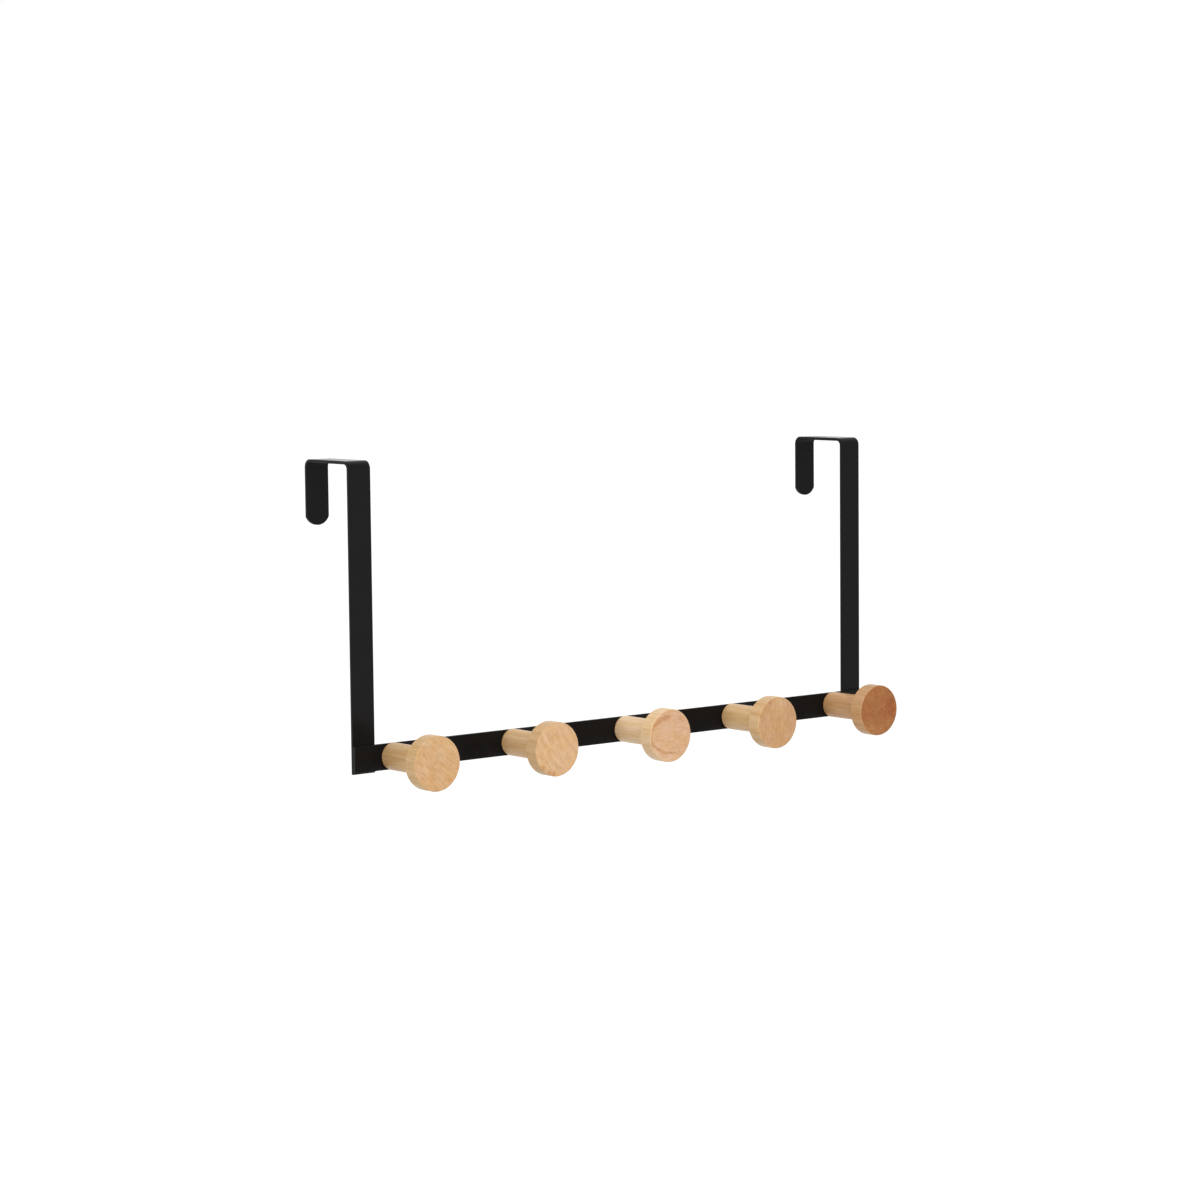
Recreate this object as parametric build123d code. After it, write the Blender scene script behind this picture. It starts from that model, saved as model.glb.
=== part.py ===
from build123d import *
import math
import os

# Over-door hook rack: a flat steel bar on two bent steel hangers, with turned wooden pegs.
# Millimetres. +X runs along the bar to the right, +Y goes back over the door, +Z is up.
# The origin is on the door's top front edge, midway between the hangers.

# Flat steel strip, the same stock for the bar and both hangers
strip_width = 16.0
strip_thick = 2.0
strip_edge = 0.4            # radius of the softened edges

# Hangers, bent over the door
door_gap = 42.0             # between the front strip and the back leg
bend_radius = 3.0           # inside of both bends
front_drop = 184.5          # from the door's top edge down to the strip's lower end
back_drop = 38.0            # from the door's top edge down to the back leg's tip
tip_rise = 5.4              # height of the arc that ends the back leg
tail = 1.0                  # what the front strip shows below the bar

# Pegs, turned from one piece of wood each
peg_count = 5
peg_spacing = 90.0
end_margin = 27.5           # from the bar's end to the axis of the nearest peg
peg_length = 45.3           # from the bar's front face to the head's face
shank_diameter = 16.7
head_diameter = 33.2
head_thick = 10.0
head_round = 0.8            # both rims of the head
neck_round = 0.6            # corner between shank and head
base_round = 0.5            # rim of the shank at the bar

# Screws, driven from behind through the bar into the pegs
screw_diameter = 4.0
screw_bite = 22.0           # length inside the peg, with the point
screw_point = 4.0           # length of the point
screw_head_diameter = 8.0
recess_span = 3.4           # cross recess, tip to tip
recess_width = 0.9
recess_depth = 1.1

# Weld beads, in the corner between each hanger's inner edge and the bar's back face
bead_bulge = 0.25           # how far the bead's face swells
bead_end = 1.0              # bare length at each end of the bead

# Clearances
door_clear = 0.4            # screw head to the door
hole_clear = 0.25           # radial, screw in the bar's hole
pilot_clear = 0.03          # radial, screw in the peg's pilot hole
pilot_spare = 1.5           # pilot hole beyond the screw's point

# What follows from the sizes above
bar_length = (peg_count - 1) * peg_spacing + 2 * end_margin
bar_centre_z = tail - front_drop + strip_width / 2
bar_back_y = -strip_thick
bar_front_y = bar_back_y - strip_thick
hanger_x = bar_length / 2 - strip_width / 2
peg_places = [(i - (peg_count - 1) / 2) * peg_spacing for i in range(peg_count)]
shank_radius = shank_diameter / 2
head_radius = head_diameter / 2
screw_radius = screw_diameter / 2
screw_head_height = strip_thick - door_clear


def cross_bar():
    """Flat bar in front of the hangers, with one clearance hole for each peg's screw."""
    section = Plane.YZ * RectangleRounded(strip_thick, strip_width, strip_edge)
    bar = extrude(section, amount=bar_length / 2, both=True)
    bar = Pos(0, (bar_back_y + bar_front_y) / 2, bar_centre_z) * bar
    hole = Rot(90, 0, 0) * Cylinder(screw_radius + hole_clear, 2 * strip_thick)
    for x in peg_places:
        bar -= Pos(x, (bar_back_y + bar_front_y) / 2, bar_centre_z) * hole
    return bar


def tip_cutter():
    """What is cut off the back leg to leave an arc across its end."""
    half = strip_width / 2
    radius = (half**2 + tip_rise**2) / (2 * tip_rise)
    waste = Pos(0, (tip_rise - strip_width) / 2) * Rectangle(2 * strip_width, strip_width + tip_rise)
    waste -= Pos(0, radius) * Circle(radius)
    cutter = extrude(Plane.XZ * waste, amount=strip_thick, both=True)
    return Pos(0, door_gap + strip_thick / 2, -back_drop) * cutter


def hanger(x):
    """Strip bent twice over the door: front strip, hook top and back leg."""
    middle = strip_thick / 2
    route = FilletPolyline(
        (x, -middle, -front_drop),
        (x, -middle, middle),
        (x, door_gap + middle, middle),
        (x, door_gap + middle, -back_drop),
        radius=bend_radius + middle,
    )
    section = Plane(origin=route @ 0, x_dir=(1, 0, 0), z_dir=route % 0)
    strip = sweep(section * RectangleRounded(strip_width, strip_thick, strip_edge), path=route)
    return strip - Pos(x, 0, 0) * tip_cutter()


def weld_bead(side):
    """Fillet weld on the inner edge of one hanger. side is -1 on the left and 1 on the right."""
    leg = strip_thick - strip_edge
    corner_x = side * (hanger_x - strip_width / 2)
    toe_on_bar = (corner_x - side * leg, bar_back_y)
    toe_on_hanger = (corner_x, bar_back_y + leg)
    swell = leg / 2 + bead_bulge / math.sqrt(2)
    crown = (corner_x - side * swell, bar_back_y + swell)
    corner = (corner_x, bar_back_y)
    outline = Curve() + [
        ThreePointArc(toe_on_bar, crown, toe_on_hanger),
        Line(toe_on_hanger, corner),
        Line(corner, toe_on_bar),
    ]
    length = strip_width - 2 * bead_end
    bead = extrude(make_face(outline), amount=length / 2, both=True)
    return Pos(0, 0, bar_centre_z) * bead


def turned(outline):
    """Solid of revolution about Z, from points (radius, height)."""
    return revolve(Plane.XZ * make_face(Polyline(*outline, close=True)), axis=Axis.Z)


def place_on_bar(piece, x, y):
    """Turn a piece made along +Z so that it points forward, and stand it at a peg's place."""
    return Pos(x, y, bar_centre_z) * Rot(90, 0, 0) * piece


def peg(x):
    """Wooden peg: shank and disc head in one piece, with a blind pilot hole in its base."""
    neck = peg_length - head_thick
    body = turned([
        (0, 0),
        (shank_radius, 0),
        (shank_radius, neck),
        (head_radius, neck),
        (head_radius, peg_length),
        (0, peg_length),
    ])
    rings = body.edges().filter_by(GeomType.CIRCLE)
    head_rims = rings.filter_by(lambda ring: ring.radius > (shank_radius + head_radius) / 2)
    shank_ends = (rings - head_rims).sort_by(Axis.Z)
    body = fillet(head_rims, head_round)
    body = fillet(shank_ends[0], base_round)
    body = fillet(shank_ends[-1], neck_round)
    depth = screw_bite + pilot_spare
    body -= Pos(0, 0, depth / 2) * Cylinder(screw_radius + pilot_clear, depth)
    return place_on_bar(body, x, bar_front_y)


def peg_screw(x):
    """Low-headed wood screw with a cross recess. Height 0 is the underside of its head."""
    reach = strip_thick + screw_bite
    shank = turned([(0, 0), (screw_radius, 0), (screw_radius, reach - screw_point), (0, reach)])
    rim = screw_head_diameter / 2
    dome_radius = (rim**2 + screw_head_height**2) / (2 * screw_head_height)
    head = Pos(0, 0, dome_radius - screw_head_height) * Sphere(dome_radius)
    head &= Pos(0, 0, -screw_head_height / 2) * Cylinder(rim, screw_head_height)
    screw = shank + head
    for turn in (0, 90):
        wing = Box(recess_span, recess_width, 2 * recess_depth)
        screw -= Pos(0, 0, -screw_head_height) * Rot(0, 0, turn) * wing
    return place_on_bar(screw, x, bar_back_y)


nodes = {
    "cross_bar": cross_bar(),
    "left_hanger": hanger(-hanger_x),
    "right_hanger": hanger(hanger_x),
    "left_weld": weld_bead(-1),
    "right_weld": weld_bead(1),
}
for number, place in enumerate(peg_places, start=1):
    nodes[f"peg_{number}"] = peg(place)
    nodes[f"peg_screw_{number}"] = peg_screw(place)

os.makedirs("parts", exist_ok=True)
for name, solid in nodes.items():
    export_step(solid, f"parts/{name}.step")
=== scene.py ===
import math

import bpy
from mathutils import Matrix, Vector


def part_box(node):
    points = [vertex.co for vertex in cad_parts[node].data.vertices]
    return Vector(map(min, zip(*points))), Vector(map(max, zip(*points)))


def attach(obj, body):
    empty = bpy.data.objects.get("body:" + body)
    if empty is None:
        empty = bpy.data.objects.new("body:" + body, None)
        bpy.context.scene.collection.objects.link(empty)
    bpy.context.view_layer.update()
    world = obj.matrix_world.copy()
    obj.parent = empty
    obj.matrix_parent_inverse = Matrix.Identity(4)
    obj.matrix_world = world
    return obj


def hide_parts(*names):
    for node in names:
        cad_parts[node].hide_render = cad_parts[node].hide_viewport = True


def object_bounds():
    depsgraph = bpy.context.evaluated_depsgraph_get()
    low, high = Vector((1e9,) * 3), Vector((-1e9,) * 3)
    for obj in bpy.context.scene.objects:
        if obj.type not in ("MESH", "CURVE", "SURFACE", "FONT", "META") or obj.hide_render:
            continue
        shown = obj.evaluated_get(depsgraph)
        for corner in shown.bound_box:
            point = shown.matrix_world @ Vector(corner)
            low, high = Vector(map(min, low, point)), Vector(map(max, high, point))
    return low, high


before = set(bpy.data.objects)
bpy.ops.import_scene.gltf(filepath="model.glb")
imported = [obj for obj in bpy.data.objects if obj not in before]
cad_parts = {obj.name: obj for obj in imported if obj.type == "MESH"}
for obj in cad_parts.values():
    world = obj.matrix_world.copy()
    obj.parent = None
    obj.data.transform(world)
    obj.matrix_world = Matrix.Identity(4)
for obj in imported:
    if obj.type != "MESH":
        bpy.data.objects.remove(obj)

# Over-door hook rack: powder-coated steel bar and hangers, turned wooden pegs, zinc screws.
# Metres, in the part's own frame: +X to the right along the bar, +Y back over the door, +Z up.

cad_low, cad_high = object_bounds()
mm = 0.001

# Strip steel
strip_edge = 0.4 * mm           # rounding of the long edges
end_edge = 0.18 * mm            # rounding of the cut ends
bend_radius = 3.0 * mm          # inside of the hanger's bends
back_drop = 38.0 * mm           # from the door's top edge down to the back leg's tip
tip_rise = 5.4 * mm             # height of the arc on the hanger's tip
tip_lead = 2.0 * mm             # flat stretch that is left before that arc

# Turned pegs
peg_count = 5
shank_diameter = 16.7 * mm
head_thick = 10.0 * mm
head_round = 0.8 * mm
neck_round = 0.6 * mm
base_round = 0.5 * mm
pilot_diameter = 4.06 * mm
pilot_depth = 23.5 * mm

# Screws
screw_diameter = 4.0 * mm
screw_core = 2.8 * mm
thread_pitch = 1.8 * mm
thread_share = 0.5              # how much of the pitch the ridge takes up
point_length = 4.0 * mm
screw_head_height = 1.6 * mm
bar_hole_diameter = 4.5 * mm
recess_span = 3.4 * mm
recess_width = 0.9 * mm
recess_depth = 1.1 * mm
recess_draft = 0.4              # share by which the recess narrows down to its floor

# Weld beads
bead_swell = 0.25 * mm
ripple_pitch = 1.15 * mm
ripple_depth = 0.16 * mm
ripple_arch = 0.45              # how far a ripple bows, in ripples
ripple_shake = 0.35             # how uneven the ripples are, in ripples

# How finely round shapes are divided
edge_facets = 6                 # rounded long edge of a strip
end_facets = 4                  # softened cut end of a strip
bend_facets = 14                # each bend of a hanger
tip_columns = 16                # across a hanger, for the arc on its tip
hole_sides = 32
peg_sides = 96
rim_facets = 7                  # each rounded corner of a peg
screw_sides = 32
dome_rings = 12
thread_rings = 130
bead_facets = 8
bead_rings = 150
seed_step = 3.7                 # between the two beads, so that their ripples differ
merge_distance = 0.002 * mm     # points nearer than this become one
crease_angle = math.radians(32)  # faces that meet more sharply keep a sharp edge


# ---------------------------------------------------------------- node trees


class Wire:
    """An output socket that Python sums can use. Each operator adds one Math node."""

    def __init__(self, build, socket):
        self.build, self.socket = build, socket

    def out(self, name):
        """Another output of the same node."""
        return Wire(self.build, self.socket.node.outputs[name])

    def __add__(self, other):
        return self.build.calculate("ADD", self, other)

    def __radd__(self, other):
        return self.build.calculate("ADD", other, self)

    def __sub__(self, other):
        return self.build.calculate("SUBTRACT", self, other)

    def __rsub__(self, other):
        return self.build.calculate("SUBTRACT", other, self)

    def __mul__(self, other):
        return self.build.calculate("MULTIPLY", self, other)

    def __rmul__(self, other):
        return self.build.calculate("MULTIPLY", other, self)

    def __truediv__(self, other):
        return self.build.calculate("DIVIDE", self, other)

    def __rtruediv__(self, other):
        return self.build.calculate("DIVIDE", other, self)

    def __pow__(self, other):
        return self.build.calculate("POWER", self, other)

    def __neg__(self):
        return self.build.calculate("MULTIPLY", self, -1.0)


class Build:
    """Adds nodes to one tree."""

    def __init__(self, tree):
        self.tree = tree

    def add(self, kind, settings=None, inputs=None, output=0):
        """One node: its settings first, then plain values or wires for its sockets. The
        setting choices is the number of values that an index switch chooses from."""
        node = self.tree.nodes.new(kind)
        for name, value in (settings or {}).items():
            if name == "choices":
                while len(node.index_switch_items) < value:
                    node.index_switch_items.new()
            else:
                setattr(node, name, value)
        for name, value in (inputs or {}).items():
            if isinstance(value, Wire):
                self.tree.links.new(value.socket, node.inputs[name])
            else:
                node.inputs[name].default_value = value
        return Wire(self, node.outputs[output]) if node.outputs else None

    def calculate(self, operation, first, second=0.0):
        """One Math node."""
        return self.add("ShaderNodeMath", {"operation": operation}, {0: first, 1: second})

    def smooth(self, value, low, high):
        """0 below low, 1 above high and a soft step between them."""
        return self.add(
            "ShaderNodeMapRange",
            {"interpolation_type": "SMOOTHSTEP"},
            {"Value": value, "From Min": low, "From Max": high},
        )

    def blend(self, factor, first, second, mode="MIX"):
        """Two colours mixed by a factor."""
        return self.add(
            "ShaderNodeMix",
            {"data_type": "RGBA", "blend_type": mode},
            {0: factor, 6: first, 7: second},
            output=2,
        )

    def vector(self, x, y, z):
        """A vector from three numbers or wires."""
        return self.add("ShaderNodeCombineXYZ", None, {"X": x, "Y": y, "Z": z})

    def noise(self, place, scale, detail=2.0, roughness=0.5):
        """Noise from 0 to 1, with scale in cells per unit of place."""
        return self.add(
            "ShaderNodeTexNoise",
            None,
            {"Vector": place, "Scale": scale, "Detail": detail, "Roughness": roughness},
        )


def geometry_tree(name, sizes):
    """A new Geometry Nodes tree with named inputs. Returns its builder, inputs and input node."""
    tree = bpy.data.node_groups.new(name, "GeometryNodeTree")
    tree.is_modifier = True
    sockets = {"Geometry": "Geometry", **sizes, "Material": "Material"}
    keys = {}
    for label, kind in sockets.items():
        socket = tree.interface.new_socket(
            name=label, in_out="INPUT", socket_type="NodeSocket" + kind
        )
        keys[label] = socket.identifier
    tree.interface.new_socket(name="Geometry", in_out="OUTPUT", socket_type="NodeSocketGeometry")
    build = Build(tree)
    return build, keys, build.add("NodeGroupInput")


def close_tree(build, mesh, material):
    """The end of every tree: real geometry with its material."""
    real = build.add("GeometryNodeRealizeInstances", None, {"Geometry": mesh})
    painted = build.add("GeometryNodeSetMaterial", None, {"Geometry": real, "Material": material})
    build.add("NodeGroupOutput", None, {0: painted})


def by_number(build, kind, values):
    """A field that gives each point the value that goes with its number."""
    inputs = {"Index": build.add("GeometryNodeInputIndex")}
    inputs.update(enumerate(values, start=1))
    settings = {"data_type": kind, "choices": len(values)}
    return build.add("GeometryNodeIndexSwitch", settings, inputs)


def outline(build, points):
    """A poly curve through points, each a vector that may hold wires."""
    line = build.add("GeometryNodeMeshLine", None, {"Count": len(points)})
    places = by_number(build, "VECTOR", [build.vector(*point) for point in points])
    moved = build.add("GeometryNodeSetPosition", None, {"Geometry": line, "Position": places})
    return build.add("GeometryNodeMeshToCurve", None, {"Mesh": moved})


def rounded(build, curve, radii):
    """The curve with each corner filleted by its own radius."""
    return build.add("GeometryNodeFilletCurve", {"mode": "POLY"}, {
        "Curve": curve, "Count": rim_facets, "Radius": by_number(build, "FLOAT", radii),
    })


def merged(build, mesh):
    """The mesh with its doubled points made one, which closes its seams and poles."""
    return build.add(
        "GeometryNodeMergeByDistance", None, {"Geometry": mesh, "Distance": merge_distance}
    )


def turned(build, profile, radius, sides):
    """Revolves a profile about Z. The profile's x is measured outwards from radius."""
    ring = build.add(
        "GeometryNodeCurvePrimitiveCircle", None, {"Resolution": sides, "Radius": radius}
    )
    ring = build.add("GeometryNodeSetCurveNormal", {"mode": "Z_UP"}, {"Curve": ring})
    mesh = build.add("GeometryNodeCurveToMesh", None, {"Curve": ring, "Profile Curve": profile})
    return merged(build, mesh)


# ---------------------------------------------------------------- materials

# Linear colours of the coat, and stains, which multiply the colour of the wood. The last two are
# painted shade and a painted shadow near the bar.
deep_black = (0.0066, 0.0060, 0.0058, 1)
soft_black = (0.0092, 0.0085, 0.0082, 1)
ring_stain = (0.82, 0.75, 0.68, 1)
sapwood_stain = (1.0, 1.012, 1.05, 1)
heartwood_stain = (1.005, 0.975, 0.89, 1)
# Painted shade that darkens the shank towards the bar
painted_shank_shade_colour = (0.80, 0.74, 0.70, 1)
# Painted shadow line where the shank meets the bar
painted_foot_shadow_colour = (0.42, 0.26, 0.14, 1)


def paint(red, green, blue):
    """A colour from its 0 to 255 screen values, as the linear values that shaders take."""
    parts = [value / 255 for value in (red, green, blue)]
    linear = [p / 12.92 if p <= 0.04045 else ((p + 0.055) / 1.055) ** 2.4 for p in parts]
    return (*linear, 1.0)


def new_material(name):
    """An empty material and the builder of its nodes."""
    material = bpy.data.materials.new(name)
    material.use_nodes = True
    material.node_tree.nodes.clear()
    return material, Build(material.node_tree)


def surface(build, inputs):
    """One Principled shader as the whole surface."""
    shader = build.add("ShaderNodeBsdfPrincipled", None, inputs)
    build.add("ShaderNodeOutputMaterial", None, {"Surface": shader})


def in_millimetres(build, centre=(0, 0, 0), turn=(0, 0, 0)):
    """Object coordinates in millimetres, measured from a centre and turned."""
    place = build.add("ShaderNodeTexCoord").out("Object")
    return build.add(
        "ShaderNodeMapping",
        {"vector_type": "TEXTURE"},
        {"Vector": place, "Location": centre, "Rotation": turn, "Scale": (mm, mm, mm)},
    )


def bumps(build, height, distance):
    """A normal for a height from 0 to 1 that stands as far out as distance."""
    return build.add("ShaderNodeBump", None, {"Height": height, "Distance": distance})


def stained(build, colour, amount, stain):
    """A colour multiplied by a stain, as much as amount says."""
    return build.blend(amount, colour, build.blend(1.0, colour, stain, "MULTIPLY"))


def powder_coat():
    """Satin black powder coat: a fine orange peel, and patches that are paler and duller."""
    material, build = new_material("satin_black_powder_coat")
    place = in_millimetres(build)
    patches = build.noise(place, 0.06, 3.0)
    peel = build.noise(place, 1.4, 2.0, 0.4)
    grit = build.noise(place, 7.0, 1.0)
    surface(build, {
        "Base Color": build.blend(patches, deep_black, soft_black),
        "Roughness": 0.20 + patches * 0.08 + grit * 0.04,
        "Specular IOR Level": 0.075,
        "Normal": bumps(build, peel * 0.75 + grit * 0.25, 0.012 * mm),
    })
    return material


def zinc():
    """Bright zinc plating with a fine grain and a little tarnish."""
    material, build = new_material("zinc_plated_steel")
    place = in_millimetres(build)
    tarnish = build.noise(place, 0.5, 3.0)
    grain = build.noise(place, 6.0, 2.0)
    tone = build.blend(tarnish, paint(168, 170, 170), paint(205, 206, 202))
    surface(build, {
        "Base Color": tone,
        "Metallic": 1.0,
        "Roughness": 0.26 + tarnish * 0.14 + grain * 0.06,
        "Normal": bumps(build, grain, 0.01 * mm),
    })
    return material


def peg_wood(name, base, look):
    """Clear-finished beech with its grain along the peg, from one of the looks below."""
    material, build = new_material(name)
    pith_right, pith_up = look["pith"]
    pith = base + Vector((pith_right, 0, pith_up)) * mm
    grain = in_millimetres(build, pith, look["lean"])
    grain = build.add("ShaderNodeSeparateXYZ", None, {"Vector": grain})
    x, y, z = grain.out("X"), grain.out("Y"), grain.out("Z")

    def along_grain(across, along, detail=2.0, roughness=0.5):
        """Noise drawn out along the peg, with its cells per millimetre across and along."""
        place = build.vector(x * across, y * along, z * across)
        return build.noise(place, 1.0, detail, roughness)

    # Growth rings round the pith: a soft swell and a sharp line in each, uneven in strength
    wander = along_grain(0.10, 0.012)
    oval = x * look["oval"]
    radius = (oval * oval + z * z) ** 0.5 + (wander - 0.5) * look["wander"]
    ring = radius / look["ring"]
    part = build.calculate("FRACT", ring)
    swell = 0.5 - build.calculate("COSINE", ring * math.tau) * 0.5
    line = build.smooth(part, 0.60, 0.92) * (1 - build.smooth(part, 0.92, 1.0))
    uneven = 0.3 + build.smooth(along_grain(0.11, 0.02), 0.35, 0.65) * 0.7
    rings = (swell * (1 - look["line"]) + line * look["line"]) * uneven

    # Straight streaks right through the peg, all in one direction across its end
    plank = in_millimetres(build, base, (0, math.radians(look["streak_turn"]), 0))
    plank = build.add("ShaderNodeSeparateXYZ", None, {"Vector": plank})
    flat = build.vector(plank.out("X") * 0.14, plank.out("Y") * 0.02, plank.out("Z") * 0.9)
    streak = build.noise(flat, 1.0, 3.0, 0.6)
    forward = -plank.out("Y")

    # The fine figure
    fibre = along_grain(1.1, 0.05, 3.0, 0.65)
    pores = build.smooth(along_grain(2.6, 0.25, 1.0), 0.56, 0.76)
    mottle = along_grain(0.34, 0.05, 3.0, 0.65)
    blush = build.smooth(along_grain(0.16, 0.03, 2.0), 0.36, 0.64)
    speckle = 0.45 + build.smooth(along_grain(0.75, 0.2, 2.0, 0.6), 0.38, 0.62) * 1.1

    # Colour of the end grain and the sides, with the rings and warmer and cooler wood
    normal = build.add("ShaderNodeNewGeometry").out("Normal")
    facing = build.add("ShaderNodeSeparateXYZ", None, {"Vector": normal}).out("Y")
    end_grain = build.smooth(build.calculate("ABSOLUTE", facing), 0.80, 0.98)
    colour = build.blend(end_grain, look["side"], look["face"])
    colour = stained(build, colour, rings * look["figure"], ring_stain)
    colour = stained(build, colour, blush, sapwood_stain)
    colour = stained(build, colour, 1 - blush, heartwood_stain)

    # Marks of the end grain, as round spots and as stretches of a ring
    for right, up, size, strength, stain in look["marks"]:
        away_x, away_z = x - (right - pith_right), z - (up - pith_up)
        away = (away_x * away_x + away_z * away_z) ** 0.5 + (mottle - 0.5) * size * 1.6
        spot = (1 - build.smooth(away, 0.0, size)) * speckle * end_grain
        colour = stained(build, colour, spot * strength, stain)
    for middle, reach, low, high, strength, stain in look["dark_rings"]:
        away = build.calculate("ABSOLUTE", radius - middle + (mottle - 0.5) * reach * 1.5)
        turn = build.calculate("ARCTAN2", z, -x)
        arc = build.smooth(turn, low, low + 0.4) * (1 - build.smooth(turn, high - 0.4, high))
        spot = (1 - build.smooth(away, 0.0, reach)) * arc * speckle * end_grain
        colour = stained(build, colour, spot * strength, stain)

    # Painted shade: the shank darkens towards the bar, and ends there in a thin painted shadow line
    painted_shank_shade = (1 - build.smooth(forward, 2.0, 28.0)) * look["painted_shank_shade"]
    colour = stained(build, colour, painted_shank_shade, painted_shank_shade_colour)
    # Painted shadow line, under a millimetre wide, where the shank meets the bar
    painted_foot_shadow = 1 - build.smooth(forward, 0.3, 1.0)
    colour = stained(build, colour, painted_foot_shadow, painted_foot_shadow_colour)

    # Light and dark of the fine figure, which changes blue the most and red the least
    shade = (fibre - 0.5) * look["fibre"] + (mottle - 0.5) * look["mottle"] - pores * 0.09
    shade = shade + (streak - 0.5) * look["streak"]
    shade = build.vector(1 + shade * 0.8, 1 + shade * 1.2, 1 + shade * 2.0)
    colour = build.blend(1.0, colour, shade, "MULTIPLY")

    relief = fibre * 0.5 - pores * 0.6 + rings * 0.2
    surface(build, {
        "Base Color": colour,
        "Roughness": 0.42 + pores * 0.12 + (fibre - 0.5) * 0.10 + end_grain * 0.08,
        "Specular IOR Level": 0.15,
        "Coat Weight": 0.12,
        "Coat Roughness": 0.3,
        "Normal": bumps(build, relief, 0.035 * mm),
    })
    return material


# ---------------------------------------------------------------- pieces


def new_piece(name, points=(), faces=()):
    """An object at the origin with a mesh of its own."""
    mesh = bpy.data.meshes.new(name)
    mesh.from_pydata(points, (), faces)
    piece = bpy.data.objects.new(name, mesh)
    bpy.context.scene.collection.objects.link(piece)
    return piece


def bake_down(piece):
    """Turns what the modifiers make into the piece's own plain mesh."""
    graph = bpy.context.evaluated_depsgraph_get()
    mesh = bpy.data.meshes.new_from_object(piece.evaluated_get(graph))
    mesh.name = piece.name
    piece.modifiers.clear()
    piece.data = mesh


def settle(piece, node):
    """Smooth shading that keeps flats flat, then the piece takes its CAD node's place."""
    bake_down(piece)
    piece.data.shade_smooth()
    piece.data.set_sharp_from_angle(angle=crease_angle)
    flats = piece.modifiers.new("flats", "WEIGHTED_NORMAL")
    flats.keep_sharp = True
    bake_down(piece)
    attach(piece, "root")
    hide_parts(node)


def grow(name, tree, keys, values):
    """A piece made by one Geometry Nodes tree, with its named inputs set."""
    piece = new_piece(name)
    nodes = piece.modifiers.new("shape", "NODES")
    nodes.node_group = tree
    for label, value in values.items():
        nodes[keys[label]] = value
    return piece


def half_outline(width, thick, rounding, columns):
    """Upper half of a strip's rounded section, from one narrow side to the other."""
    turns = [math.pi / 2 * step / edge_facets for step in range(edge_facets + 1)]
    flat = width / 2 - rounding
    corner = [
        (flat + rounding * math.cos(turn), thick / 2 - rounding * (1 - math.sin(turn)))
        for turn in turns
    ]
    middle = [
        (flat - 2 * flat * column / columns, thick / 2) for column in range(1, columns)
    ]
    other = [(-across, through) for across, through in reversed(corner)]
    return corner + middle + other


def bent_route(corners, radius):
    """Places and directions along a path whose inner corners are rounded to a radius."""
    stations = []
    for number, corner in enumerate(corners):
        if number in (0, len(corners) - 1):
            other = corners[1] if number == 0 else corners[-2]
            way = (other - corner if number == 0 else corner - other).normalized()
            stations.append((corner, way))
            continue
        before = (corner - corners[number - 1]).normalized()
        after = (corners[number + 1] - corner).normalized()
        centre = corner + (after - before) * radius
        for step in range(bend_facets + 1):
            turn = math.pi / 2 * step / bend_facets
            place = centre - after * radius * math.cos(turn) + before * radius * math.sin(turn)
            stations.append((place, before * math.cos(turn) + after * math.sin(turn)))
    return stations


def steel_strip(name, corners, across, width, thick, tip=0.0, columns=1, radius=0.0):
    """Flat strip along a route with square corners, which are bent to a radius. across is the
    direction of its width. tip is the height of an arc across its far end."""
    stations = bent_route(corners, radius)
    arc = (width**2 / 4 + tip**2) / (2 * tip) if tip else None
    turns = [math.pi / 2 * step / end_facets for step in range(end_facets + 1)]
    rims = [
        (end_edge * (1 - math.sin(turn)), end_edge * (1 - math.cos(turn))) for turn in turns
    ]
    rings = []
    start, start_way = stations[0]
    for back, inset in reversed(rims):
        rings.append((start + start_way * back, start_way, inset, False))
    rings += [(place, way, 0.0, False) for place, way in stations[1:-1]]
    finish, finish_way = stations[-1]
    if tip:
        rings.append((finish - finish_way * (tip + tip_lead), finish_way, 0.0, False))
    for back, inset in rims:
        rings.append((finish - finish_way * back, finish_way, inset, bool(tip)))

    points = []
    for place, way, inset, arched in rings:
        out = across.cross(way)
        half = half_outline(width - 2 * inset, thick - 2 * inset, strip_edge - inset, columns)
        for u, v in half + [(u, -v) for u, v in reversed(half)]:
            pull = arc - math.sqrt(max(arc**2 - u**2, 0.0)) if arched else 0.0
            points.append(place + across * u + out * v - way * pull)

    count = 2 * len(half)
    faces = []
    for ring in range(len(rings) - 1):
        for spot in range(count):
            after = (spot + 1) % count
            low, high = ring * count, (ring + 1) * count
            faces.append((low + after, low + spot, high + spot, high + after))
    last = (len(rings) - 1) * count
    for spot in range(len(half) - 1):
        mirror = count - 1 - spot
        faces.append((mirror - 1, mirror, spot, spot + 1))
        faces.append((last + spot + 1, last + spot, last + mirror, last + mirror - 1))
    return new_piece(name, points, faces)


def drill(piece, places, diameter, depth):
    """Cuts a round hole along Y through a piece at each place."""
    points, faces = [], []
    for place in places:
        first = len(points)
        for end in (-depth, depth):
            for side in range(hole_sides):
                turn = math.tau * side / hole_sides
                out = Vector((math.cos(turn), 0, math.sin(turn))) * diameter / 2
                points.append(place + out + Vector((0, end, 0)))
        near = list(range(first, first + hole_sides))
        far = [point + hole_sides for point in near]
        for side in range(hole_sides):
            after = (side + 1) % hole_sides
            faces.append((near[side], near[after], far[after], far[side]))
        faces.append(tuple(reversed(near)))
        faces.append(tuple(far))
    cutter = new_piece("cutter", points, faces)
    cutter.data.flip_normals()
    cut = piece.modifiers.new("holes", "BOOLEAN")
    cut.operation, cut.solver, cut.object = "DIFFERENCE", "EXACT", cutter
    bake_down(piece)
    bpy.data.objects.remove(cutter)


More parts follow.
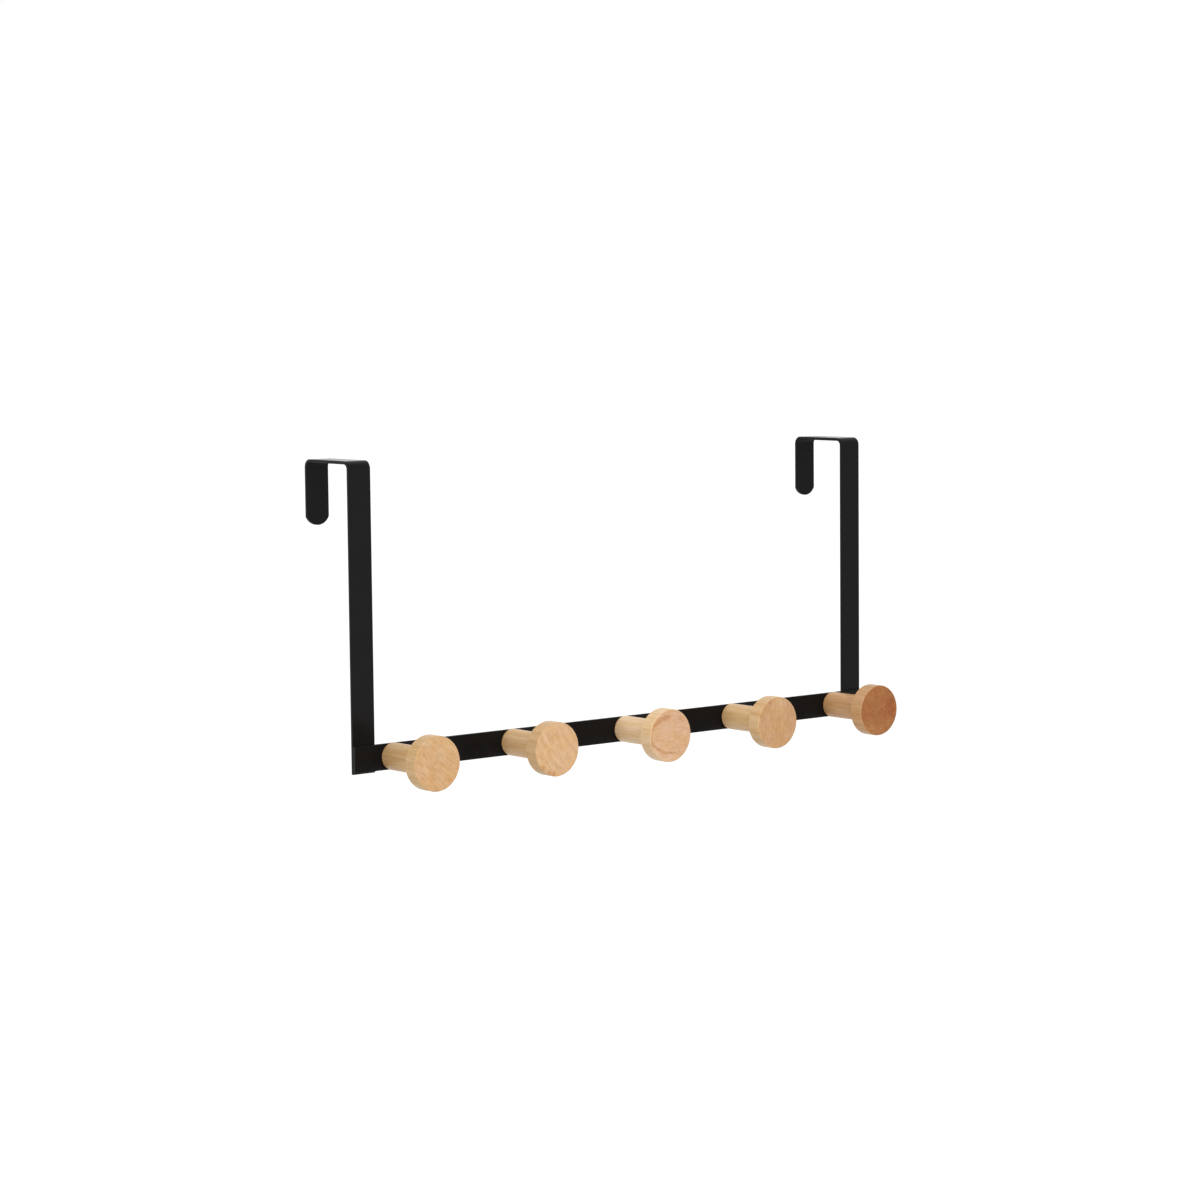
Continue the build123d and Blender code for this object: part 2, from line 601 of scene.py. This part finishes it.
def peg_tree():
    """Lathe-turned peg: base at the origin, shank and head towards -Z."""
    build, keys, size = geometry_tree("turned_peg", {
        "Place": "Vector", "Length": "Float", "Shank diameter": "Float",
        "Head diameter": "Float", "Head thickness": "Float", "Head rounding": "Float",
        "Neck rounding": "Float", "Base rounding": "Float", "Pilot diameter": "Float",
        "Pilot depth": "Float", "Sides": "Int",
    })
    shank = size.out("Shank diameter") / 2.0
    head = size.out("Head diameter") / 2.0 - shank
    pilot = size.out("Pilot diameter") / 2.0 - shank
    length = size.out("Length")
    neck = length - size.out("Head thickness")
    depth = size.out("Pilot depth")
    corners = [
        (-shank, depth, 0.0), (pilot, depth, 0.0), (pilot, 0.0, 0.0), (0.0, 0.0, 0.0),
        (0.0, neck, 0.0), (head, neck, 0.0), (head, length, 0.0), (-shank, length, 0.0),
    ]
    rounding = size.out("Head rounding")
    radii = [
        0.0, 0.0, 0.0, size.out("Base rounding"), size.out("Neck rounding"),
        rounding, rounding, 0.0,
    ]
    profile = rounded(build, outline(build, corners), radii)
    mesh = turned(build, profile, shank, size.out("Sides"))
    stand(build, mesh, size)
    return build.tree, keys


def stand(build, mesh, size):
    """Turns a piece made towards -Z so that it points forward, and puts it in its place."""
    placed = build.add("GeometryNodeTransform", None, {
        "Geometry": mesh, "Translation": size.out("Place"), "Rotation": (-math.pi / 2, 0, 0),
    })
    close_tree(build, placed, size.out("Material"))


def screw_tree():
    """Low-domed wood screw with a cross recess: head towards +Z, threaded point towards -Z."""
    build, keys, size = geometry_tree("wood_screw", {
        "Place": "Vector", "Head diameter": "Float", "Head height": "Float",
        "Reach": "Float", "Point": "Float", "Diameter": "Float", "Core": "Float",
        "Pitch": "Float", "Plain length": "Float", "Recess span": "Float",
        "Recess width": "Float", "Recess depth": "Float", "Sides": "Int",
    })
    rim = size.out("Head diameter") / 2.0
    height = size.out("Head height")
    core = size.out("Core") / 2.0
    reach, point, sides = size.out("Reach"), size.out("Point"), size.out("Sides")

    # Domed head, with its flat underside at height 0
    dome = (rim * rim + height * height) / (height * 2.0)
    profile = []
    for step in range(dome_rings):
        away = rim * (step / (dome_rings - 1))
        profile.append((away - core, dome - height - (dome * dome - away * away) ** 0.5, 0.0))
    profile.append((0.0, 0.0, 0.0))
    head = turned(build, outline(build, profile), core, sides)

    # Shank: a plain core that thins towards its point, and a ridge that winds round it
    step = build.add("GeometryNodeInputIndex") / (thread_rings - 1.0)
    taper = build.calculate("MINIMUM", 1.0, reach * (1 - step) / point)
    line = build.add("GeometryNodeMeshLine", None, {"Count": thread_rings})
    line = build.add("GeometryNodeSetPosition", None, {
        "Geometry": line, "Position": build.vector(core * taper - core, reach * step, 0.0),
    })
    shank = turned(build, build.add("GeometryNodeMeshToCurve", None, {"Mesh": line}), core, sides)
    spot = build.add("GeometryNodeInputPosition")
    spot = build.add("ShaderNodeSeparateXYZ", None, {"Vector": spot})
    x, y, z = spot.out("X"), spot.out("Y"), spot.out("Z")
    winding = build.calculate("ARCTAN2", y, x) / math.tau - z / size.out("Pitch")
    across = build.calculate("ABSOLUTE", build.calculate("FRACT", winding) - 0.5)
    ridge = build.calculate("MAXIMUM", 0.0, 1 - across * (2 / thread_share))
    start = build.smooth(-z, size.out("Plain length"), size.out("Plain length") * 1.5)
    room = build.calculate("MINIMUM", 1.0, (reach + z) / point)
    rise = ridge * start * room * (size.out("Diameter") - size.out("Core")) / 2.0
    out = rise / build.calculate("MAXIMUM", (x * x + y * y) ** 0.5, 0.01 * mm)
    shank = build.add("GeometryNodeSetPosition", None, {
        "Geometry": shank, "Offset": build.vector(x * out, y * out, 0.0),
    })
    joined = build.add("GeometryNodeJoinGeometry")
    for part in (head, shank):
        build.tree.links.new(part.socket, joined.socket.node.inputs[0])
    whole = merged(build, joined)

    # Cross recess, cut by two tapered bars
    depth = size.out("Recess depth")
    for wing_turn in (0.0, math.pi / 2):
        bar = build.add("GeometryNodeMeshCube", None, {
            "Size": build.vector(size.out("Recess span"), size.out("Recess width"), depth * 2.0),
        })
        narrow = build.add("ShaderNodeSeparateXYZ", None,
                           {"Vector": build.add("GeometryNodeInputPosition")})
        draft = 1 + narrow.out("Z") / depth * recess_draft
        bar = build.add("GeometryNodeSetPosition", None, {
            "Geometry": bar,
            "Position": build.vector(
                narrow.out("X") * draft, narrow.out("Y") * draft, narrow.out("Z")
            ),
        })
        bar = build.add("GeometryNodeTransform", None, {
            "Geometry": bar, "Translation": build.vector(0.0, 0.0, height),
            "Rotation": (0, 0, wing_turn),
        })
        cut = build.add("GeometryNodeMeshBoolean", {"operation": "DIFFERENCE", "solver": "EXACT"},
                        {"Mesh 1": whole})
        build.tree.links.new(bar.socket, cut.socket.node.inputs["Mesh 2"])
        whole = cut
    stand(build, whole, size)
    return build.tree, keys


def bead_tree():
    """Fillet weld in a corner along Z, with the ripples that the torch leaves."""
    build, keys, size = geometry_tree("weld_bead", {
        "Place": "Vector", "Turn": "Rotation", "Length": "Float", "Leg": "Float",
        "Swell": "Float", "Ripple pitch": "Float", "Ripple depth": "Float", "Seed": "Float",
    })
    leg, length = size.out("Leg"), size.out("Length")
    crown = leg / 2.0 + size.out("Swell") * math.sqrt(2)
    corners = [(0.0, 0.0, 0.0)]
    for step in range(bead_facets + 1):
        part = step / bead_facets
        middle = crown * (2 * part * (1 - part))
        corners.append((leg * (1 - part) ** 2 + middle, leg * part**2 + middle, 0.0))
    profile = build.add("GeometryNodeSetSplineCyclic", None,
                        {"Geometry": outline(build, corners), "Cyclic": True})
    path = build.add("GeometryNodeCurvePrimitiveLine", None, {
        "Start": build.vector(0.0, 0.0, length * -0.5), "End": build.vector(0.0, 0.0, length * 0.5),
    })
    path = build.add("GeometryNodeResampleCurve", {"mode": "COUNT"},
                     {"Curve": path, "Count": bead_rings})
    bead = build.add("GeometryNodeCurveToMesh", None,
                     {"Curve": path, "Profile Curve": profile, "Fill Caps": True})
    position = build.add("GeometryNodeInputPosition")
    spot = build.add("ShaderNodeSeparateXYZ", None, {"Vector": position})
    x, y, z = spot.out("X"), spot.out("Y"), spot.out("Z")

    # The ripples and the sunk ends are kept off the two faces that lie on the strips
    aside = (x - y) / leg
    shake = build.add("ShaderNodeTexNoise", {"noise_dimensions": "4D"}, {
        "Vector": position, "W": size.out("Seed"), "Scale": 0.9 / mm, "Detail": 1.0,
    })
    phase = z / size.out("Ripple pitch") + aside * aside * ripple_arch
    phase = phase + (shake - 0.5) * ripple_shake
    ripple = 1 - build.calculate("ABSOLUTE", build.calculate("SINE", phase * math.pi))
    free = build.smooth(build.calculate("MINIMUM", x, y), 0.02 * mm, 0.30 * mm)
    end = build.smooth(build.calculate("ABSOLUTE", z) / length, 0.42, 0.5)
    sink = free * (ripple * size.out("Ripple depth") * (1 - end) + end * size.out("Swell") * 1.6)
    inward = sink / ((x * x + y * y) ** 0.5 + 0.001 * mm) * -1.0
    bead = build.add("GeometryNodeSetPosition", None, {
        "Geometry": bead, "Offset": build.vector(x * inward, y * inward, 0.0),
    })
    placed = build.add("GeometryNodeTransform", None, {
        "Geometry": bead, "Translation": size.out("Place"), "Rotation": size.out("Turn"),
    })
    close_tree(build, placed, size.out("Material"))
    return build.tree, keys


# ---------------------------------------------------------------- the rack

coat = powder_coat()
plating = zinc()

bar_low, bar_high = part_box("cross_bar")
bar_middle = (bar_low + bar_high) / 2
strip_width = bar_high.z - bar_low.z
strip_thick = bar_high.y - bar_low.y

# Bar, drilled for the screws
bar = steel_strip(
    "flat_bar",
    [Vector((x, bar_middle.y, bar_middle.z)) for x in (bar_low.x, bar_high.x)],
    Vector((0, 0, 1)), strip_width, strip_thick,
)
peg_places = []
for number in range(1, peg_count + 1):
    low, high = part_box(f"peg_{number}")
    peg_places.append(Vector(((low.x + high.x) / 2, high.y, (low.z + high.z) / 2)))
drill(bar, peg_places, bar_hole_diameter, 2 * strip_thick)
bar.data.materials.append(coat)
settle(bar, "cross_bar")

# Hangers, bent over the door
for side in ("left", "right"):
    low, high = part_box(side + "_hanger")
    x = (low.x + high.x) / 2
    half = strip_thick / 2
    hanger = steel_strip(
        side + "_bent_hanger",
        [
            Vector((x, low.y + half, low.z)), Vector((x, low.y + half, high.z - half)),
            Vector((x, high.y - half, high.z - half)), Vector((x, high.y - half, -back_drop)),
        ],
        Vector((1, 0, 0)), strip_width, strip_thick, tip_rise, tip_columns, bend_radius + half,
    )
    hanger.data.materials.append(coat)
    settle(hanger, side + "_hanger")

# Welds, in the corners behind the bar
tree, keys = bead_tree()
for seed, side in enumerate(("left", "right")):
    low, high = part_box(side + "_weld")
    corner = low.x if side == "left" else high.x
    bead = grow(side + "_rippled_weld", tree, keys, {
        "Place": (corner, low.y, (low.z + high.z) / 2),
        "Turn": (0, 0, 0 if side == "left" else math.pi / 2),
        "Length": high.z - low.z, "Leg": high.y - low.y, "Swell": bead_swell,
        "Ripple pitch": ripple_pitch, "Ripple depth": ripple_depth, "Seed": seed * seed_step,
        "Material": coat,
    })
    settle(bead, side + "_weld")

# Stains of the marks on the pegs' faces
brown = (0.72, 0.50, 0.36, 1)
amber = (0.92, 0.78, 0.58, 1)
honey = (0.96, 0.90, 0.78, 1)
tan = (0.80, 0.63, 0.46, 1)
red = (0.88, 0.70, 0.66, 1)
light = (1.16, 1.36, 1.50, 1)
pale = (1.10, 1.20, 1.26, 1)

# The wood of each peg. Places are millimetres to the right of the peg's axis and up from it.
#   side, face      colours of the sides and of the end grain
#   pith            centre of the growth rings
#   ring, oval      distance between the rings, and the factor on their distances sideways
#   wander, figure  how far the rings stray, in millimetres, and how strongly they show
#   line            the part of a ring's figure that is a sharp line
#   streak_turn     direction of the straight streaks, in degrees
#   streak, fibre, mottle   contrast of the streaks, the fibre and the mottle
#   painted_shank_shade  how much painted shade darkens the shank towards the bar
#   lean            tilt of the grain, in radians
#   marks           (right, up, size, strength, stain) of each round mark
#   dark_rings      (radius, reach, from, to, strength, stain) of each stretch of a ring, with
#                   angles in radians from the left, positive upwards
plain_look = {
    "lean": (0.02, 0, -0.03), "oval": 1.0, "wander": 5.0, "fibre": 0.24, "marks": [],
    "dark_rings": [], "streak": 0.46, "painted_shank_shade": 0.0,
}
timber = {
    1: {"pith": (-30, -52), "ring": 5.0, "figure": 0.35, "line": 0.2, "mottle": 0.36,
        "side": paint(212, 175, 126), "face": paint(218, 176, 131),
        "streak_turn": 42, "streak": 0.55, "painted_shank_shade": 0.6,
        "marks": [(10.5, -8, 4.5, 0.35, amber), (-1, -14.5, 6.0, 0.3, amber),
                  (-2, -4, 9.0, 0.8, honey), (9, 11, 9.0, 0.4, pale)]},
    2: {"pith": (58, 40), "ring": 5.2, "figure": 0.60, "line": 0.1, "mottle": 0.26,
        "side": paint(212, 175, 128), "face": paint(226, 185, 141),
        "streak_turn": 60,
        "marks": [(-10.5, -10.5, 3.8, 0.9, tan), (-6, -13, 3.8, 1.0, tan),
                  (-1, -14.2, 3.4, 0.9, tan), (-1, 8, 9.0, 0.6, honey)]},
    3: {"pith": (6, 1), "ring": 3.4, "oval": 0.54, "figure": 0.40, "line": 0.3, "mottle": 0.26,
        "wander": 0.8, "side": paint(234, 200, 157), "face": paint(224, 182, 145),
        "streak_turn": 0, "streak": 0.42,
        "marks": [(10, 11, 5.0, 0.3, brown), (9, -3, 9.0, 0.5, honey), (-1, 2, 7.0, 0.35, pale)],
        "dark_rings": [(12.1, 2.2, 0.0, 1.4, 0.9, tan), (11.2, 1.3, -1.75, 0.2, 0.65, tan),
                       (15.2, 3.4, -1.8, 0.5, 0.7, pale)]},
    4: {"pith": (-70, 14), "ring": 2.8, "figure": 0.40, "line": 0.3, "mottle": 0.34,
        "side": paint(218, 181, 133), "face": paint(209, 164, 121),
        "streak_turn": 90, "streak": 0.6,
        "marks": [(-5, 15, 3.0, 0.5, brown), (3, 13, 9.0, 1.0, pale), (2, -8, 8.0, 0.5, honey)]},
    5: {"pith": (30, -42), "ring": 4.0, "figure": 0.35, "line": 0.2, "mottle": 0.60,
        "side": paint(202, 157, 111), "face": paint(169, 108, 63),
        "streak_turn": 35, "streak": 0.5,
        "marks": [(-9, -10, 8.0, 1.0, light), (2, -13, 8.0, 0.9, light), (10, -8, 4.0, 1.0, light),
                  (-7, 10, 10.0, 0.5, pale), (11, 1, 8.0, 1.0, red), (4, 14, 6.0, 0.7, light),
                  (-4.5, -9.5, 4.0, 0.6, light), (13.5, -2, 4.0, 0.4, amber)]},
}

# Pegs, each with its own wood and the screw that holds it
peg_shape, peg_keys = peg_tree()
screw_shape, screw_keys = screw_tree()
under_head = bar_high.y
for number, base in enumerate(peg_places, start=1):
    look = {**plain_look, **timber[number]}
    low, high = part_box(f"peg_{number}")
    peg = grow(f"turned_peg_{number}", peg_shape, peg_keys, {
        "Place": base, "Length": high.y - low.y, "Shank diameter": shank_diameter,
        "Head diameter": high.x - low.x, "Head thickness": head_thick,
        "Head rounding": head_round, "Neck rounding": neck_round,
        "Base rounding": base_round, "Pilot diameter": pilot_diameter,
        "Pilot depth": pilot_depth, "Sides": peg_sides,
        "Material": peg_wood(f"beech_{number}", base, look),
    })
    settle(peg, f"peg_{number}")

    low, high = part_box(f"peg_screw_{number}")
    screw = grow(f"zinc_screw_{number}", screw_shape, screw_keys, {
        "Place": (base.x, under_head, base.z), "Head diameter": high.x - low.x,
        "Head height": screw_head_height, "Reach": under_head - low.y,
        "Point": point_length, "Diameter": screw_diameter, "Core": screw_core,
        "Pitch": thread_pitch, "Plain length": strip_thick, "Recess span": recess_span,
        "Recess width": recess_width, "Recess depth": recess_depth,
        "Sides": screw_sides,
        "Material": plating,
    })
    settle(screw, f"peg_screw_{number}")


# ---------------------------------------------------------------- studio

scene = bpy.context.scene
soft_light = 0.62               # level of the even light, where 1 is white
floor_grey = 0.64               # the floor's own colour
floor_lift = 0.68               # what is added to the floor where it is looked at
floor_drop = 0.6                # from the rack's lowest point down to the floor
floor_reach = 60.0              # from the middle of the floor to its sides

# Place, width and height in metres, and power in watts, of each softbox
lamps = {
    "front_softbox": ((-0.5, -2.1, 0.9), 1.6, 1.6, 16.6),
    "left_softbox": ((-1.8, -1.15, 0.6), 0.5, 1.8, 12.5),
    "top_softbox": ((0.3, 0.2, 1.9), 1.6, 1.6, 4.7),
    "rear_left_softbox": ((-1.45, 1.8, 0.0), 0.6, 1.4, 2),
    "rear_right_softbox": ((1.5, 1.9, 0.7), 1.2, 1.6, 2.8),
    "low_right_softbox": ((0.94, -1.77, -0.25), 0.5, 0.8, 0.7),
}

camera_place = (-1.28856, -1.56626, 0.09443)
camera_turn = math.radians(39.10)   # to the right
camera_dip = math.radians(5.30)     # down
camera_roll = math.radians(0.57)    # clockwise
lens_length = 96.6                  # in millimetres, as the sensor's width is
sensor_width = 36.0


def seen_directly(build):
    """1 for what the camera, a gloss or a glass sees, and 0 for light on other things."""
    path = build.add("ShaderNodeLightPath")
    gloss = build.calculate("MAXIMUM", path.out("Is Glossy Ray"), path.out("Is Transmission Ray"))
    return build.calculate("MAXIMUM", path.out("Is Camera Ray"), gloss)


def white_world(level):
    """White to look at, and an even soft light of a plainer level on everything else."""
    world = bpy.data.worlds.new("studio")
    world.use_nodes = True
    world.node_tree.nodes.clear()
    build = Build(world.node_tree)
    light = level + seen_directly(build) * (1 - level)
    sky = build.add("ShaderNodeBackground", None, {
        "Color": build.vector(light, light, light), "Strength": 1.0,
    })
    build.add("ShaderNodeOutputWorld", None, {"Surface": sky})
    scene.world = world


def pale_floor(height, half_size):
    """Matt white floor, lifted to plain white where it is seen, with its shadows kept."""
    material, build = new_material("pale_floor")
    lift = seen_directly(build) * floor_lift
    surface(build, {
        "Base Color": (floor_grey, floor_grey, floor_grey, 1),
        "Roughness": 0.9, "Specular IOR Level": 0.0,
        "Emission Color": build.vector(lift, lift, lift), "Emission Strength": 1.0,
    })
    corners = [(-half_size, -half_size), (half_size, -half_size),
               (half_size, half_size), (-half_size, half_size)]
    floor = new_piece("floor", [(x, y, height) for x, y in corners], [(0, 1, 2, 3)])
    floor.data.materials.append(material)


def softbox(name, place, width, height, power):
    """A rectangular lamp that faces the rack's middle."""
    lamp = bpy.data.lights.new(name, "AREA")
    lamp.shape, lamp.size, lamp.size_y, lamp.energy = "RECTANGLE", width, height, power
    holder = bpy.data.objects.new(name, lamp)
    holder.location = place
    target = (cad_low + cad_high) / 2
    holder.rotation_euler = (target - Vector(place)).to_track_quat("-Z", "Y").to_euler()
    holder.visible_camera = False
    scene.collection.objects.link(holder)


white_world(soft_light)
pale_floor(cad_low.z - floor_drop, floor_reach)
for name, setting in lamps.items():
    softbox(name, *setting)

lens = bpy.data.cameras.new("camera")
lens.sensor_width = sensor_width
lens.lens = lens_length
camera = bpy.data.objects.new("camera", lens)
camera.matrix_world = (
    Matrix.Translation(camera_place)
    @ Matrix.Rotation(-camera_turn, 4, "Z")
    @ Matrix.Rotation(math.pi / 2 - camera_dip, 4, "X")
    @ Matrix.Rotation(-camera_roll, 4, "Z")
)
scene.collection.objects.link(camera)
scene.camera = camera
scene.view_settings.view_transform = "Standard"
